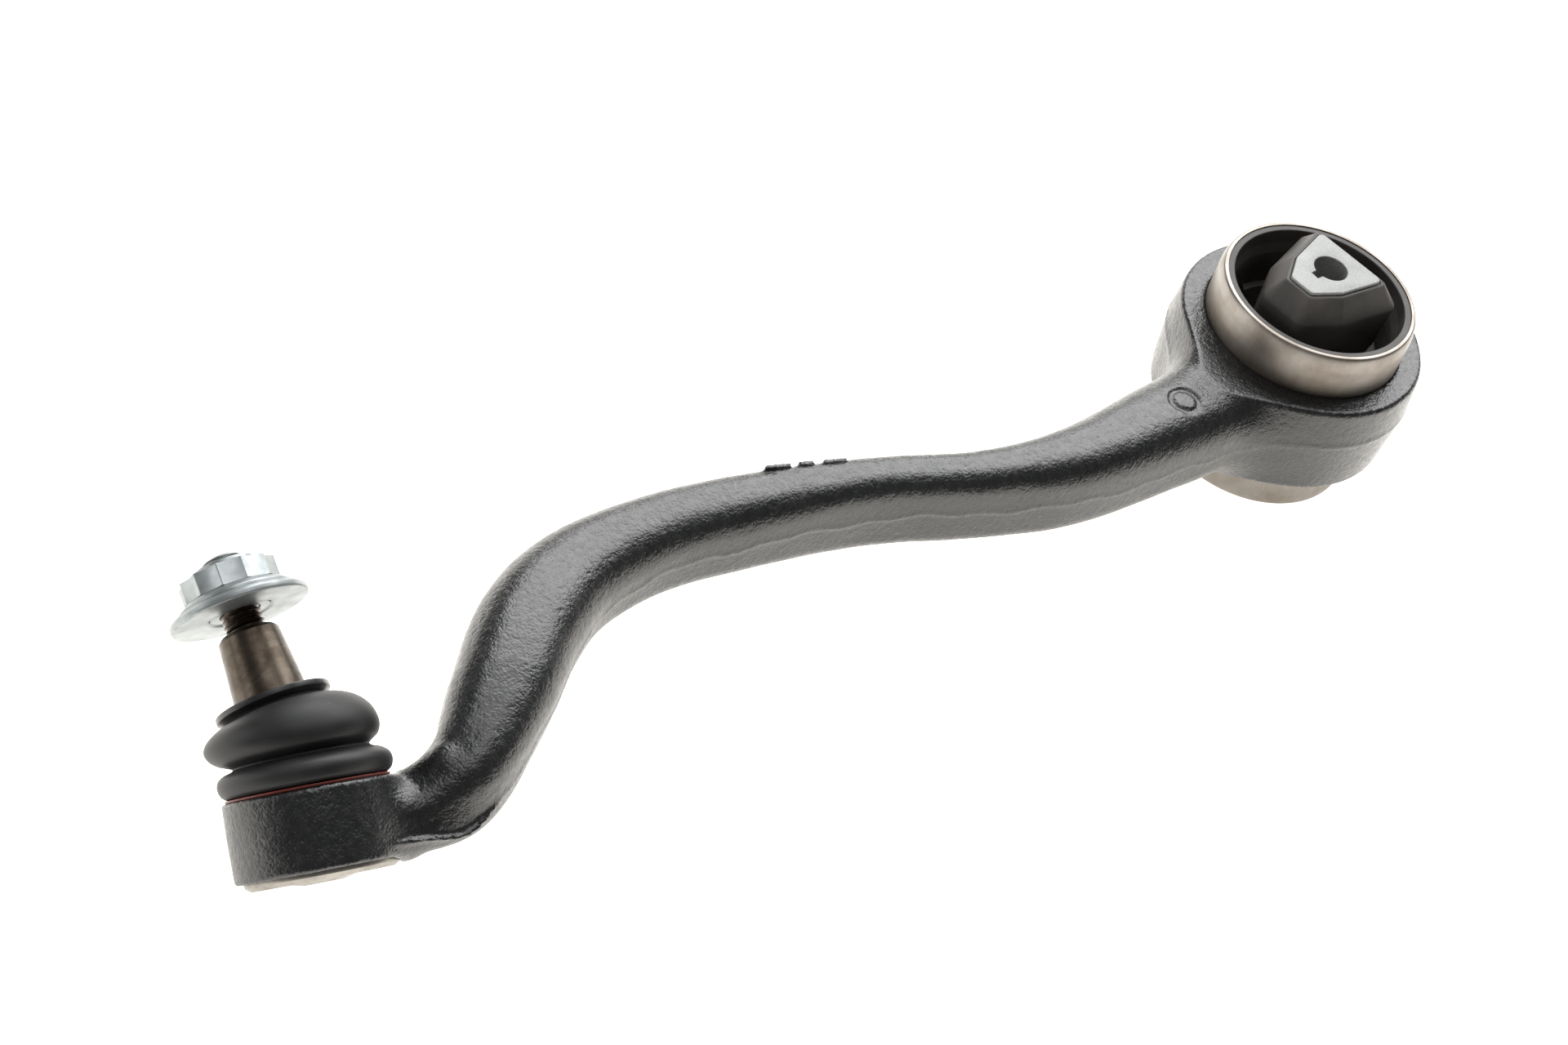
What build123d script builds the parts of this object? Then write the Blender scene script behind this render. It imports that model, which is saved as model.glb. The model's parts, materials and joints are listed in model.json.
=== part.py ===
from build123d import *

import os

# Forged front control arm with a rubber bushing at one end and a ball joint at the other.
# Frame: origin at the middle of the bushing, +Z up along its bolt axis, the arm runs towards -X.
# All sizes are millimetres.

# ---------------------------------------------------------------- driving dimensions
# overall
ball_reach = 409.3          # bushing axis to ball centre, along -X
ball_height = -7.5          # ball centre above the middle of the bushing

# eye of the forging and bushing sleeve
eye_wall = 9.75             # forged wall around the sleeve, at the widest level
eye_height = 38.0
eye_parting_height = 4.0    # widest level of the eye, where the two dies meet
eye_draft = 1.5             # the eye's wall leans in by this much towards each face
eye_edge = 1.2
sleeve_radius = 36.25
sleeve_wall = 2.5
sleeve_length = 73.0
rim_inset = 1.45            # how far the sleeve's rims are rolled in
rim_roll_length = 5.5
rim_facet = 1 / 3           # the roll is two facets, split at this share of it

# rubber, cage and fluid ring inside the sleeve
lining_wall = 2.0
lining_lip_wall = 1.4
lining_setback = 0.4
cage_wall = 1.6
cage_length = 44.0
fluid_ring_wall = 1.2
fluid_ring_length = 18.0
buffer_thickness = 3.0
buffer_length = 26.0
buffer_width = 28.0
spring_length = 30.0
spring_width = 30.0
spring_angle = 150.0        # direction of the first rubber web, about +Z from +X
soft_gap = 0.4

# core
bolt_hole = 12.2            # clearance hole for an M12 bolt
key_width = 3.0
key_depth = 2.4
core_rise = 10.0            # core stands above the sleeve's upper rim
core_turn = 5.4             # the core's outline is turned about +Z
core_front = 12.6
core_front_half = 14.4
core_shoulder = -6.5
core_shoulder_half = 10.6
core_back = -17.2
core_back_half = 4.8
core_corner = 2.0
block_margin = 6.2          # rubber around the core, at the block's shoulders
block_skin = 1.4            # and at its end faces
block_waist = 2.4           # the block is thinner by this much at the middle of the bushing
block_drop = 1.0            # rubber's end faces under the core's faces
block_bevel = 2.8           # height of the bevel between end face and shoulder
block_shoulder = 12.0       # length of the shoulders' straight walls
block_corner = 1.3
block_side_corner = 5.0

# forged bar, from the eye to the ball joint: share of the reach, y of its middle, share of the ball's
# height, width, height, lean (0 upright as the eye, 1 as the ball housing)
bar_stations = (
    (0.0538, -6.5, 0.000, 40.0, 36.5, 0.0),
    (0.1759, -7.0, 0.000, 32.5, 36.5, 0.0),
    (0.2834, -6.5, 0.000, 24.5, 35.0, 0.0),
    (0.3689, 1.5, 0.000, 18.5, 32.5, 0.0),
    (0.4642, 16.5, 0.000, 18.0, 32.5, 0.0),
    (0.5717, 28.0, 0.000, 22.5, 32.5, 0.0),
    (0.6523, 33.0, 0.000, 24.5, 32.5, 0.0),
    (0.7269, 31.0, 0.000, 29.0, 34.5, 0.0),
    (0.7855, 20.5, 0.000, 32.0, 37.5, 0.0),
    (0.8405, 3.0, 0.067, 30.0, 36.5, 0.0),
    (0.8942, -13.0, 0.400, 23.5, 30.0, 0.2),
    (0.9406, -15.0, 0.960, 21.0, 21.0, 0.7),
    (0.9797, -8.0, 1.253, 23.0, 20.0, 1.0),
)
bar_corner = 0.40           # corner radius of the bar as a share of its smaller side

# ball joint
housing_direction = (0.222, 0.799, 0.559)
stud_direction = (0.127, 0.916, 0.394)
ball_radius = 12.5
ball_clearance = 0.05
race_wall = 3.0
race_below = 3.1            # the lower race ends this far above the ball's lowest point
cavity_rise = 4.8           # ceiling of the cavity above the ball centre, along the housing's axis
mouth_hold = 0.3            # the mouth's radius is smaller than the ball's by this much
mouth_depth = 1.4
housing_wall = 2.5          # around the closing cap
housing_edge = 0.8
preload_height = 5.4
preload_inset = 2.9         # preload ring's bore inside the ball's radius
cap_ledge = 6.5             # the cap's seat around the cavity
cap_seat = 2.0
cap_proud = 2.4
cap_dome = 0.8
cap_dome_radius = 7.3
cap_dome_foot = 11.0
cap_edge = 1.0
ring_inset = 1.2            # sealing ring inside the housing's outer wall
ring_width = 4.7
ring_height = 0.8
clamp_wall = 1.8
turning_gap = 0.3           # between the fixed ring and the clamp that turns with the boot
clamp_height = 2.0

# stud, from the ball centre along its own axis
neck_radius = 7.5
neck_top = 19.0
seat_radius = 10.8
seat_start = 27.6
taper_start = 33.6
taper_length = 21.2
taper_step = 0.1            # the taper starts this much inside the seat
taper_small_radius = 8.95
taper_chamfer = 1.2
thread_radius = 5.93        # M12x1.5, outside of the thread
stud_end = 78.0
key_socket_radius = 2.6
key_socket_depth = 3.0

# dust boot and its collar
boot_overhang = 0.3         # lobes stand out of the housing
boot_waist_depth = 3.6
boot_wall = 2.2
boot_bottom = 9.9
boot_lower_lobe = 12.6
boot_waist = 16.6
boot_upper_lobe = 21.4
boot_top = 25.6
boot_mouth = 14.4
boot_lobe_inset = 0.7       # facets beside a lobe's widest level: further in by this much
boot_lobe_facet = 0.6       # and this much nearer to it than halfway to the waist
boot_foot_rise = 0.8
boot_top_bevel = 1.6
boot_top_run = 3.0
boot_room = 1.0             # clear of the forging around the boot
collar_lip = 6.0            # collar's disc beyond the stud's seat
collar_disc = 1.7
collar_neck_wall = 2.8
collar_start = 28.2
collar_clearance = 0.05
top_clamp_wall = 1.4

# nut and washer
washer_rise = 60.5          # washer's underside above the ball centre
washer_lip = 3.6            # washer beyond the nut's flange
washer_thickness = 2.8
washer_edge = 0.4
spigot_wall = 3.07          # nut's spigot outside the thread
spigot_clearance = 0.1
nut_clearance = 0.07
flange_radius = 16.9
flange_thickness = 1.8
flange_cone_step = 0.1      # top of the flange's cone beyond the twelve points
flange_cone_height = 1.6
points_radius = 14.5        # across the nut's twelve points, halved
points_height = 8.4
crown_wall = 3.47           # outside the thread
crown_height = 2.0
insert_wall = 1.2
insert_height = 1.6

# ---------------------------------------------------------------- worked out from those
ball_centre = Vector(-ball_reach, 0, ball_height)
housing_dir = Vector(*housing_direction).normalized()
stud_dir = Vector(*stud_direction).normalized()
boot_dir = (housing_dir + stud_dir).normalized()
eye_radius = sleeve_radius + eye_wall
lining_radius = sleeve_radius - sleeve_wall
cage_radius = lining_radius - lining_wall
cage_bore = cage_radius - cage_wall
core_top = sleeve_length / 2 + core_rise
core_bottom = -sleeve_length / 2
cavity_radius = ball_radius + race_wall
mouth_radius = ball_radius - mouth_hold
cap_radius = cavity_radius + cap_ledge
housing_radius = cap_radius + housing_wall
housing_rise = cavity_rise + mouth_depth
race_drop = ball_radius - race_below
housing_drop = race_drop + preload_height + cap_seat
preload_bore = ball_radius - preload_inset
ring_radius = housing_radius - ring_inset
ring_bore = ring_radius - ring_width
clamp_radius = ring_bore + clamp_wall
boot_radius = housing_radius + boot_overhang
boot_waist_radius = boot_radius - boot_waist_depth
taper_big_radius = seat_radius - taper_step
collar_radius = seat_radius + collar_lip
collar_neck_radius = seat_radius + collar_neck_wall
top_clamp_radius = collar_neck_radius + top_clamp_wall
washer_radius = flange_radius + washer_lip
flange_cone_radius = points_radius + flange_cone_step
spigot_radius = thread_radius + spigot_wall
crown_radius = thread_radius + crown_wall
nut_base = washer_rise + washer_thickness


def section_plane(axis_dir):
    """Plane through the ball centre: its x is the radius and its y runs along axis_dir."""
    side = Vector(0, 0, 1).cross(axis_dir).normalized()
    return Plane(origin=ball_centre, x_dir=side, z_dir=side.cross(axis_dir))


def ball_plane(axis_dir, height):
    """Plane square to axis_dir, at a height along it from the ball centre."""
    return Plane(origin=ball_centre + axis_dir * height, x_dir=(1, 0, 0), z_dir=axis_dir)


def bar_middle(index):
    """Middle of the bar at one station, held to the first and last ones."""
    share, side, height_share = bar_stations[min(max(index, 0), len(bar_stations) - 1)][:3]
    return Vector(-share * ball_reach, side, height_share * ball_height)


def bar_plane(index):
    """Plane square to the bar at one station, its y up the section."""
    along = (bar_middle(index + 1) - bar_middle(index - 1)).normalized()
    lean = bar_stations[index][5]
    up = Vector(0, 0, 1) * (1 - lean) + housing_dir * lean
    return Plane(origin=bar_middle(index), x_dir=up.cross(along), z_dir=along)


housing_axis = Axis(ball_centre, housing_dir)
stud_axis = Axis(ball_centre, stud_dir)
boot_axis = Axis(ball_centre, boot_dir)
housing_section = section_plane(housing_dir)
stud_section = section_plane(stud_dir)
boot_section = section_plane(boot_dir)


# ---------------------------------------------------------------- forging
with BuildPart() as arm_forging:
    for station in range(len(bar_stations)):
        width, height = bar_stations[station][3:5]
        with BuildSketch(bar_plane(station)):
            RectangleRounded(width, height, bar_corner * min(width, height))
    loft()
    with BuildSketch(Plane.XZ):
        half = eye_height / 2
        Polygon(
            (0, -half), (eye_radius - eye_draft - eye_edge, -half), (eye_radius - eye_draft, eye_edge - half),
            (eye_radius, eye_parting_height), (eye_radius - eye_draft, half - eye_edge),
            (eye_radius - eye_draft - eye_edge, half), (0, half), align=None,
        )
    revolve(axis=Axis.Z)
    with BuildSketch(housing_section):
        Polygon(
            (0, -housing_drop), (housing_radius, -housing_drop),
            (housing_radius, housing_rise - housing_edge),
            (housing_radius - housing_edge, housing_rise), (0, housing_rise), align=None,
        )
    revolve(axis=housing_axis)
    with BuildSketch(ball_plane(housing_dir, housing_rise)):
        Circle(boot_radius + boot_room)
    extrude(amount=boot_radius, mode=Mode.SUBTRACT)
    with BuildSketch(Plane.XY.offset(-eye_height)):
        Circle(sleeve_radius)
    extrude(amount=2 * eye_height, mode=Mode.SUBTRACT)
    with BuildSketch(ball_plane(housing_dir, -2 * housing_drop)):
        Circle(cap_radius)
    extrude(amount=housing_drop + cap_seat, mode=Mode.SUBTRACT)
    with BuildSketch(ball_plane(housing_dir, -2 * housing_drop)):
        Circle(cavity_radius)
    extrude(amount=2 * housing_drop + cavity_rise, mode=Mode.SUBTRACT)
    with BuildSketch(ball_plane(housing_dir, 0)):
        Circle(mouth_radius)
    extrude(amount=2 * housing_rise, mode=Mode.SUBTRACT)
arm_forging.part.label = "arm_forging"


# ---------------------------------------------------------------- bushing, fixed side
with BuildPart() as bush_sleeve:
    with BuildSketch(Plane.XZ):
        rim = sleeve_length / 2
        roll = rim - rim_roll_length
        facet = rim - rim_roll_length * rim_facet
        facet_radius = sleeve_radius - rim_inset * rim_facet
        Polygon(
            (lining_radius, -rim), (sleeve_radius - rim_inset, -rim),
            (facet_radius, -facet), (sleeve_radius, -roll),
            (sleeve_radius, roll), (facet_radius, facet),
            (sleeve_radius - rim_inset, rim), (lining_radius, rim), align=None,
        )
    revolve(axis=Axis.Z)
bush_sleeve.part.label = "bush_sleeve"

with BuildPart() as bush_lining:
    with BuildSketch(Plane.XZ):
        lip = sleeve_length / 2 - lining_setback
        neck = lip - lining_wall
        ring = fluid_ring_length / 2
        Polygon(
            (lining_radius, -lip), (lining_radius, -ring), (lining_radius - fluid_ring_wall, -ring),
            (lining_radius - fluid_ring_wall, ring), (lining_radius, ring), (lining_radius, lip),
            (lining_radius - lining_lip_wall, lip), (cage_radius, neck), (cage_radius, -neck),
            (lining_radius - lining_lip_wall, -lip), align=None,
        )
    revolve(axis=Axis.Z)
bush_lining.part.label = "bush_lining"

with BuildPart() as fluid_ring:
    with BuildSketch(Plane.XY.offset(-fluid_ring_length / 2)):
        Circle(lining_radius)
        Circle(lining_radius - fluid_ring_wall, mode=Mode.SUBTRACT)
    extrude(amount=fluid_ring_length)
fluid_ring.part.label = "fluid_ring"

with BuildPart() as bush_cage:
    with BuildSketch(Plane.XY.offset(-cage_length / 2)):
        Circle(cage_radius)
        Circle(cage_bore, mode=Mode.SUBTRACT)
    extrude(amount=cage_length)
bush_cage.part.label = "bush_cage"

with BuildPart() as stop_buffers:
    with BuildSketch(Plane.XY.offset(-buffer_length / 2)):
        Circle(cage_bore)
        Circle(cage_bore - buffer_thickness, mode=Mode.SUBTRACT)
        Rectangle(buffer_width, 2 * cage_bore, rotation=spring_angle, mode=Mode.INTERSECT)
    extrude(amount=buffer_length)
stop_buffers.part.label = "stop_buffers"


# ---------------------------------------------------------------- bushing, core side
def core_outline():
    """Half of the core's outline, mirrored: a long front side, shoulders and a short back."""
    upper = [(core_front, core_front_half), (core_shoulder, core_shoulder_half), (core_back, core_back_half)]
    return upper + [(x, -y) for x, y in reversed(upper)]


with BuildPart() as inner_core:
    with BuildSketch(Plane.XY.offset(core_bottom)):
        Polygon(*core_outline(), rotation=core_turn, align=None)
        fillet(vertices(), core_corner)
        Circle(bolt_hole / 2, mode=Mode.SUBTRACT)
        with Locations((-bolt_hole / 2, 0)):
            Rectangle(2 * key_depth, key_width, mode=Mode.SUBTRACT)
    extrude(amount=core_top - core_bottom)
inner_core.part.label = "inner_core"

with BuildPart() as core_block:
    block_top = core_top - block_drop
    block_base = core_bottom + block_drop
    levels = (
        (block_base, block_skin, block_corner),
        (block_base + block_bevel, block_margin, block_side_corner),
        (block_base + block_bevel + block_shoulder, block_margin, block_side_corner),
        (0, block_margin - block_waist, block_side_corner),
        (block_top - block_bevel - block_shoulder, block_margin, block_side_corner),
        (block_top - block_bevel, block_margin, block_side_corner),
        (block_top, block_skin, block_corner),
    )
    for level, margin, corner in levels:
        with BuildSketch(Plane.XY.offset(level)):
            Polygon(*core_outline(), rotation=core_turn, align=None)
            offset(amount=margin, kind=Kind.INTERSECTION)
            fillet(vertices(), corner)
    loft(ruled=True)
    with BuildSketch(Plane.XY.offset(core_bottom)):
        Polygon(*core_outline(), rotation=core_turn, align=None)
        fillet(vertices(), core_corner)
    extrude(amount=core_top - core_bottom, mode=Mode.SUBTRACT)
core_block.part.label = "core_block"

with BuildPart() as rubber_spring:
    with BuildSketch(Plane.XY.offset(-spring_length / 2)):
        Circle(cage_bore - soft_gap)
        Rectangle(2 * cage_bore, spring_width, rotation=spring_angle, mode=Mode.INTERSECT)
    extrude(amount=spring_length)
    with BuildSketch(Plane.XY.offset(-spring_length / 2)):
        Polygon(*core_outline(), rotation=core_turn, align=None)
        offset(amount=block_margin + soft_gap, kind=Kind.INTERSECTION)
    extrude(amount=spring_length, mode=Mode.SUBTRACT)
rubber_spring.part.label = "rubber_spring"


# ---------------------------------------------------------------- ball joint, fixed side
with BuildPart() as race_upper:
    with BuildSketch(ball_plane(housing_dir, 0)):
        Circle(cavity_radius)
    extrude(amount=cavity_rise)
    with Locations(ball_centre):
        Sphere(ball_radius + ball_clearance, mode=Mode.SUBTRACT)
race_upper.part.label = "race_upper"

with BuildPart() as race_lower:
    with BuildSketch(ball_plane(housing_dir, -race_drop)):
        Circle(cavity_radius)
    extrude(amount=race_drop)
    with Locations(ball_centre):
        Sphere(ball_radius + ball_clearance, mode=Mode.SUBTRACT)
race_lower.part.label = "race_lower"

with BuildPart() as preload_ring:
    with BuildSketch(ball_plane(housing_dir, cap_seat - housing_drop)):
        Circle(cavity_radius)
        Circle(preload_bore, mode=Mode.SUBTRACT)
    extrude(amount=housing_drop - cap_seat - race_drop)
preload_ring.part.label = "preload_ring"

with BuildPart() as closing_cap:
    with BuildSketch(housing_section):
        face = -housing_drop - cap_proud
        seat = cap_seat - housing_drop
        Polygon(
            (0, face - cap_dome), (cap_dome_radius, face - cap_dome), (cap_dome_foot, face),
            (cap_radius - cap_edge, face), (cap_radius, face + cap_edge), (cap_radius, seat),
            (preload_bore, seat), (preload_bore - cap_edge, seat - cap_edge), (0, seat - cap_edge),
            align=None,
        )
    revolve(axis=housing_axis)
closing_cap.part.label = "closing_cap"

with BuildPart() as sealing_ring:
    with BuildSketch(ball_plane(housing_dir, housing_rise)):
        Circle(ring_radius)
        Circle(ring_bore, mode=Mode.SUBTRACT)
    extrude(amount=ring_height)
sealing_ring.part.label = "sealing_ring"

with BuildPart() as boot_clamp:
    with BuildSketch(ball_plane(housing_dir, housing_rise + ring_height + turning_gap)):
        Circle(clamp_radius)
        Circle(ring_bore, mode=Mode.SUBTRACT)
    extrude(amount=clamp_height)
boot_clamp.part.label = "boot_clamp"


# ---------------------------------------------------------------- dust boot and collar
with BuildPart() as dust_boot:
    with BuildSketch(boot_section):
        lobe = boot_radius - boot_lobe_inset
        inner_lobe = boot_radius - boot_wall
        top_run = lobe - boot_top_run
        Polygon(
            (lobe - boot_wall, boot_bottom), (lobe, boot_bottom + boot_foot_rise),
            (boot_radius, boot_lower_lobe),
            (lobe, (boot_lower_lobe + boot_waist) / 2 + boot_lobe_facet), (boot_waist_radius, boot_waist),
            (lobe, (boot_waist + boot_upper_lobe) / 2 - boot_lobe_facet), (boot_radius, boot_upper_lobe),
            (lobe, boot_top - boot_top_bevel), (top_run, boot_top), (boot_mouth, boot_top),
            (boot_mouth, boot_top - boot_wall), (top_run, boot_top - boot_wall),
            (inner_lobe, boot_upper_lobe),
            (boot_waist_radius - boot_wall, boot_waist), (inner_lobe, boot_lower_lobe), align=None,
        )
    revolve(axis=boot_axis)
dust_boot.part.label = "dust_boot"

with BuildPart() as seal_collar:
    with BuildSketch(stud_section):
        bore = seat_radius + collar_clearance
        Polygon(
            (bore, collar_start), (collar_neck_radius, collar_start),
            (collar_neck_radius, taper_start - 2 * collar_disc), (collar_radius, taper_start - collar_disc),
            (collar_radius, taper_start), (bore, taper_start), align=None,
        )
    revolve(axis=stud_axis)
seal_collar.part.label = "seal_collar"

with BuildPart() as top_clamp:
    with BuildSketch(stud_section):
        Polygon(
            (collar_neck_radius, collar_start), (top_clamp_radius, collar_start),
            (top_clamp_radius, collar_start + clamp_height),
            (collar_neck_radius, collar_start + clamp_height), align=None,
        )
    revolve(axis=stud_axis)
top_clamp.part.label = "top_clamp"


# ---------------------------------------------------------------- stud, washer and nut
with BuildPart() as ball_stud:
    with Locations(ball_centre):
        Sphere(ball_radius)
    with BuildSketch(stud_section):
        taper_end = taper_start + taper_length
        Polygon(
            (0, 0), (neck_radius, 0), (neck_radius, neck_top), (seat_radius, seat_start),
            (seat_radius, taper_start), (taper_big_radius, taper_start),
            (taper_small_radius, taper_end - taper_chamfer), (taper_small_radius - taper_chamfer, taper_end),
            (thread_radius, taper_end), (thread_radius, stud_end - taper_chamfer),
            (thread_radius - taper_chamfer, stud_end), (0, stud_end), align=None,
        )
    revolve(axis=stud_axis)
    with BuildSketch(ball_plane(stud_dir, stud_end - key_socket_depth)):
        RegularPolygon(key_socket_radius, 6)
    extrude(amount=2 * key_socket_depth, mode=Mode.SUBTRACT)
ball_stud.part.label = "ball_stud"

with BuildPart() as washer:
    with BuildSketch(stud_section):
        bore = spigot_radius + spigot_clearance
        Polygon(
            (bore, washer_rise), (washer_radius - washer_edge, washer_rise),
            (washer_radius, washer_rise + washer_edge), (washer_radius, nut_base - washer_edge),
            (washer_radius - washer_edge, nut_base), (bore, nut_base), align=None,
        )
    revolve(axis=stud_axis)
washer.part.label = "washer"

with BuildPart() as nut:
    nut_bore = thread_radius + nut_clearance
    cone_base = nut_base + flange_thickness
    points_base = cone_base + flange_cone_height
    points_top = nut_base + flange_thickness + points_height
    with BuildSketch(stud_section):
        Polygon(
            (0, washer_rise + washer_edge), (spigot_radius, washer_rise + washer_edge),
            (spigot_radius, nut_base),
            (flange_radius, nut_base), (flange_radius, cone_base), (flange_cone_radius, points_base),
            (crown_radius, points_base), (crown_radius, points_top + crown_height),
            (0, points_top + crown_height), align=None,
        )
    revolve(axis=stud_axis)
    with BuildSketch(ball_plane(stud_dir, cone_base)):
        RegularPolygon(points_radius, 6)
        RegularPolygon(points_radius, 6, rotation=30)
    extrude(amount=points_top - cone_base)
    with BuildSketch(ball_plane(stud_dir, washer_rise)):
        Circle(nut_bore)
    extrude(amount=stud_end - washer_rise, mode=Mode.SUBTRACT)
    with BuildSketch(ball_plane(stud_dir, points_top + crown_height - insert_height)):
        Circle(nut_bore + insert_wall)
    extrude(amount=2 * insert_height, mode=Mode.SUBTRACT)
nut.part.label = "nut"

with BuildPart() as lock_insert:
    with BuildSketch(ball_plane(stud_dir, points_top + crown_height - insert_height)):
        Circle(nut_bore + insert_wall)
        Circle(nut_bore, mode=Mode.SUBTRACT)
    extrude(amount=insert_height)
lock_insert.part.label = "lock_insert"


# ---------------------------------------------------------------- written pieces
os.makedirs("parts", exist_ok=True)
pieces = (
    arm_forging, bush_sleeve, bush_lining, fluid_ring, bush_cage, stop_buffers, rubber_spring,
    core_block, inner_core, race_upper, race_lower, preload_ring, closing_cap, sealing_ring, boot_clamp,
    dust_boot, seal_collar, top_clamp, ball_stud, washer, nut, lock_insert,
)
for piece in pieces:
    export_step(piece.part, f"parts/{piece.part.label}.step")
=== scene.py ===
import json
import math

import bpy
import numpy as np
from mathutils import Euler, Matrix, Vector


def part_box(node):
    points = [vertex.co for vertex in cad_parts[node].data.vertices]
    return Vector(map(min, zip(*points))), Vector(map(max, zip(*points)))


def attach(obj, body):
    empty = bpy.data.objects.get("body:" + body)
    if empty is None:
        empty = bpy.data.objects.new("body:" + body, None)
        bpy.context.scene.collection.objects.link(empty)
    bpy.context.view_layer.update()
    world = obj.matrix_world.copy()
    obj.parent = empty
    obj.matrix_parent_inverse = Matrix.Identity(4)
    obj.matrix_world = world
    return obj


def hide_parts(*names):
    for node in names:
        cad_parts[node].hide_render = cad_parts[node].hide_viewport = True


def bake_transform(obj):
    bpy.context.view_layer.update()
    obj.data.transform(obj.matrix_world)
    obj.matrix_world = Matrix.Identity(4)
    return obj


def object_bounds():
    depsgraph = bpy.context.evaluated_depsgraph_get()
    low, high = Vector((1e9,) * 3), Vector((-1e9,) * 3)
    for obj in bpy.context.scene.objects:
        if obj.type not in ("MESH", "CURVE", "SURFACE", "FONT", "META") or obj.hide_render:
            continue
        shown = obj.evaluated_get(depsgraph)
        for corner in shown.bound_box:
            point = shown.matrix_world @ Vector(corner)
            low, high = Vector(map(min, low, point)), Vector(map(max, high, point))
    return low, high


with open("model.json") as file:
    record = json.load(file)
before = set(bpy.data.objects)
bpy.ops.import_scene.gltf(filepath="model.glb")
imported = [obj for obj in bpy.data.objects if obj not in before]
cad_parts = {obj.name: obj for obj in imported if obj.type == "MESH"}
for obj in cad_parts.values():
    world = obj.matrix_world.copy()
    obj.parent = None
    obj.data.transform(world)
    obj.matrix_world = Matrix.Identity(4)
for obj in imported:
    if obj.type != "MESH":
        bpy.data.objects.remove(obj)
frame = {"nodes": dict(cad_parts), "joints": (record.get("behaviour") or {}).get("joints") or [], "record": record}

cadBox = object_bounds()
mm = 0.001
joints = {joint["name"]: joint for joint in frame["joints"]}
ball = Vector(joints["ball_swivel"]["pos_m"])
housingAxis = Vector(joints["ball_swivel"]["axis"]).normalized()
studAxis = Vector(joints["ball_spin"]["axis"]).normalized()
tiltAxis = Vector(joints["ball_tilt"]["axis"]).normalized()
restTilt = housingAxis.angle(studAxis)


# ---- shader helpers

class Sock:
    # one output socket, so that masks and heights are written as sums
    def __init__(self, socket):
        self.socket = socket

    def calc(self, operation, other=None, swap=False):
        tree = self.socket.id_data
        node = tree.nodes.new("ShaderNodeMath")
        node.operation = operation
        values = (other, self) if swap else (self, other)
        for place, value in enumerate(values):
            if value is not None:
                plug(tree, node.inputs[place], value)
        return Sock(node.outputs[0])

    def __add__(self, other): return self.calc("ADD", other)
    def __radd__(self, other): return self.calc("ADD", other)
    def __sub__(self, other): return self.calc("SUBTRACT", other)
    def __rsub__(self, other): return self.calc("SUBTRACT", other, swap=True)
    def __mul__(self, other): return self.calc("MULTIPLY", other)
    def __rmul__(self, other): return self.calc("MULTIPLY", other)


def plug(tree, socket, value):
    if isinstance(value, Sock):
        tree.links.new(value.socket, socket)
    else:
        socket.default_value = value


class Finish:
    # one material: a Principled shader and whatever feeds it
    def __init__(self, name):
        self.material = bpy.data.materials.new(name)
        self.material.use_nodes = True
        self.tree = self.material.node_tree
        self.tree.nodes.clear()
        self.shader = self.tree.nodes.new("ShaderNodeBsdfPrincipled")
        output = self.tree.nodes.new("ShaderNodeOutputMaterial")
        self.tree.links.new(self.shader.outputs[0], output.inputs["Surface"])
        self.place = self.node("ShaderNodeTexCoord", out="Object")

    def node(self, kind, settings=None, inputs=None, out=0):
        made = self.tree.nodes.new(kind)
        for key, value in (settings or {}).items():
            setattr(made, key, value)
        for key, value in (inputs or {}).items():
            plug(self.tree, made.inputs[key], value)
        return Sock(made.outputs[out])

    def stretch(self, scale, turn=(0, 0, 0)):
        return self.node("ShaderNodeMapping", inputs={"Vector": self.place, "Scale": scale, "Rotation": turn})

    def noise(self, scale, detail=3.0, rough=0.5, where=None):
        inputs = {"Vector": where or self.place, "Scale": scale, "Detail": detail, "Roughness": rough}
        return self.node("ShaderNodeTexNoise", {"noise_dimensions": "3D"}, inputs)

    def cells(self, scale):
        return self.node("ShaderNodeTexVoronoi", {"feature": "F1"}, {"Vector": self.place, "Scale": scale})

    def between(self, value, low, high, start=0.0, end=1.0):
        names = {"Value": value, "From Min": low, "From Max": high, "To Min": start, "To Max": end}
        return self.node("ShaderNodeMapRange", {"clamp": True}, names)

    def mix(self, share, first, second):
        first, second = (colour if isinstance(colour, Sock) else (*colour, 1) for colour in (first, second))
        return self.node("ShaderNodeMix", {"data_type": "RGBA"}, {0: share, 6: first, 7: second}, out=2)

    def set(self, **values):
        for key, value in values.items():
            socket = self.shader.inputs[key.replace("_", " ")]
            if not isinstance(value, Sock) and socket.type == "RGBA":
                value = (*value, 1)
            plug(self.tree, socket, value)
        return self

    def bump(self, height, distance, strength=1.0):
        inputs = {"Height": height, "Distance": distance, "Strength": strength}
        return self.set(Normal=self.node("ShaderNodeBump", inputs=inputs))


def armPaint():
    look = {"dark": (0.0045, 0.005, 0.0052), "pale": (0.010, 0.011, 0.0115), "worn": (0.16, 0.15, 0.14),
            "rough": (0.24, 0.40)}
    f = Finish("armPaint")
    peel = f.noise(1250, 2.0, 0.5)
    dents = f.noise(480, 2.0, 0.5)
    scale = f.noise(14, 4.0, 0.6)
    pits = f.between(f.cells(260), 0.0, 0.22)
    edge = f.node("ShaderNodeNewGeometry", out="Pointiness")
    rubbed = f.between(edge, 0.56, 0.62) * f.between(f.noise(150, 4.0, 0.7), 0.5, 0.6)
    colour = f.mix(f.between(scale, 0.35, 0.7), look["dark"], look["pale"])
    f.set(Base_Color=f.mix(rubbed * 0.7, colour, look["worn"]), IOR=1.62)
    f.set(Roughness=f.between(peel * 0.4 + dents * 0.6, 0.35, 0.65, *look["rough"]))
    f.bump(peel * 0.55 + dents * 0.75 + pits * 0.2, 0.00042, 0.85)
    return f.material


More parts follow.
